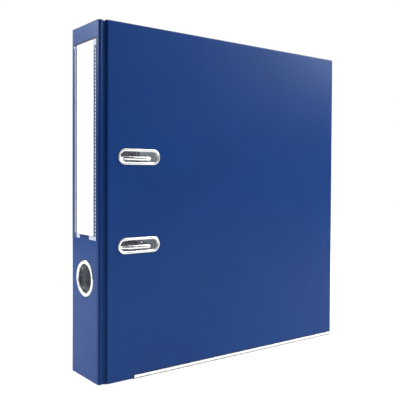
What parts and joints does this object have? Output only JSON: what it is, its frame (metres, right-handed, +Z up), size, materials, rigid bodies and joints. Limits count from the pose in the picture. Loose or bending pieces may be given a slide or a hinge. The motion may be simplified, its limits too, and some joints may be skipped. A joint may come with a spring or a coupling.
{
  "type": "lever arch file",
  "caption": "Upright lever arch file with foil-covered covers, spine label pocket and finger ring, metal-lined cover slots and a hinged lever arch mechanism.",
  "frame": {"origin": "floor level, below the middle of the file's depth and thickness", "axes": "+X from the spine to the fore edge, +Y from the front cover to the back cover, +Z up"},
  "size_m": [0.301, 0.0564, 0.32],
  "materials": {
    "foil_blue": "royal blue plastic foil, laminated, faint grain",
    "board_grey": "solid grey board",
    "lining_paper": "light lining paper, smooth",
    "nickel": "bright nickel plating",
    "bright_steel": "plain bright steel",
    "clear_film": "clear welded film",
    "label_white": "plain white card"
  },
  "bodies": {
    "back_cover": {"back_board": "board_grey", "back_outer_foil": "foil_blue", "back_inner_lining": "lining_paper", "back_edge_protector": "nickel", "base_plate": "nickel", "upper_post": "nickel", "lower_post": "nickel", "mechanism_rivet_1": "nickel", "mechanism_rivet_2": "nickel", "mechanism_rivet_3": "nickel", "mechanism_rivet_4": "nickel", "lower_bearing_clip": "nickel", "middle_bearing_clip": "nickel", "upper_bearing_clip": "nickel", "lever_bracket": "nickel", "lever_pivot_pin": "bright_steel", "opening_spring": "bright_steel"},
    "spine": {"spine_board": "board_grey", "spine_outer_foil": "foil_blue", "spine_inner_lining": "lining_paper", "finger_ring": "nickel", "finger_ring_washer": "nickel", "label_pocket": "clear_film", "front_hinge_strip": "foil_blue", "back_hinge_strip": "foil_blue"},
    "label": {"label_card": "label_white"},
    "front_cover": {"front_board": "board_grey", "front_outer_foil": "foil_blue", "front_inner_lining": "lining_paper", "front_edge_protector": "nickel", "upper_slot_eyelet": "nickel", "lower_slot_eyelet": "nickel"},
    "arches": {"arch_wire": "nickel"},
    "lever": {"lever_arm": "nickel", "roller_axle": "bright_steel"},
    "roller": {"cam_roller": "bright_steel"},
    "compressor": {"compressor_bar": "nickel", "compressor_latch": "bright_steel", "latch_rivet": "bright_steel"}
  },
  "joints": [
    {"name": "spine_hinge", "type": "hinge", "parent": "back_cover", "child": "spine", "pos_m": [-0.14868, 0.02645, 0.16], "axis": [0, 0, -1], "range_deg": [0, 90], "deforming": ["back_hinge_strip"]},
    {"name": "front_cover_hinge", "type": "hinge", "parent": "spine", "child": "front_cover", "pos_m": [-0.14868, -0.02585, 0.16], "axis": [0, 0, -1], "range_deg": [0, 180], "deforming": ["front_hinge_strip"]},
    {"name": "arches_hinge", "type": "hinge", "parent": "back_cover", "child": "arches", "pos_m": [-0.12802, 0.0199, 0.1599], "axis": [0, 0, -1], "range_deg": [0, 35.1]},
    {"name": "lever_hinge", "type": "hinge", "parent": "back_cover", "child": "lever", "pos_m": [-0.11903, 0.00862, 0.1415], "axis": [1, 0, 0], "range_deg": [0, 100.1]},
    {"name": "roller_spin", "type": "hinge", "parent": "lever", "child": "roller", "pos_m": [-0.11903, 0.01475, 0.14664], "axis": [1, 0, 0], "continuous": true},
    {"name": "compressor_slide", "type": "slide", "parent": "back_cover", "child": "compressor", "axis": [0, -1, 0], "range_m": [-0.009, 0.012]},
    {"name": "label_slide", "type": "slide", "parent": "spine", "child": "label", "axis": [0, 0, 1], "range_m": [0, 0.19]}
  ],
  "couplings": [
    {"joint": "arches_hinge", "follows": "spine_hinge", "ratio": 0.38889},
    {"joint": "lever_hinge", "follows": "spine_hinge", "ratio": 1.1111}
  ]
}
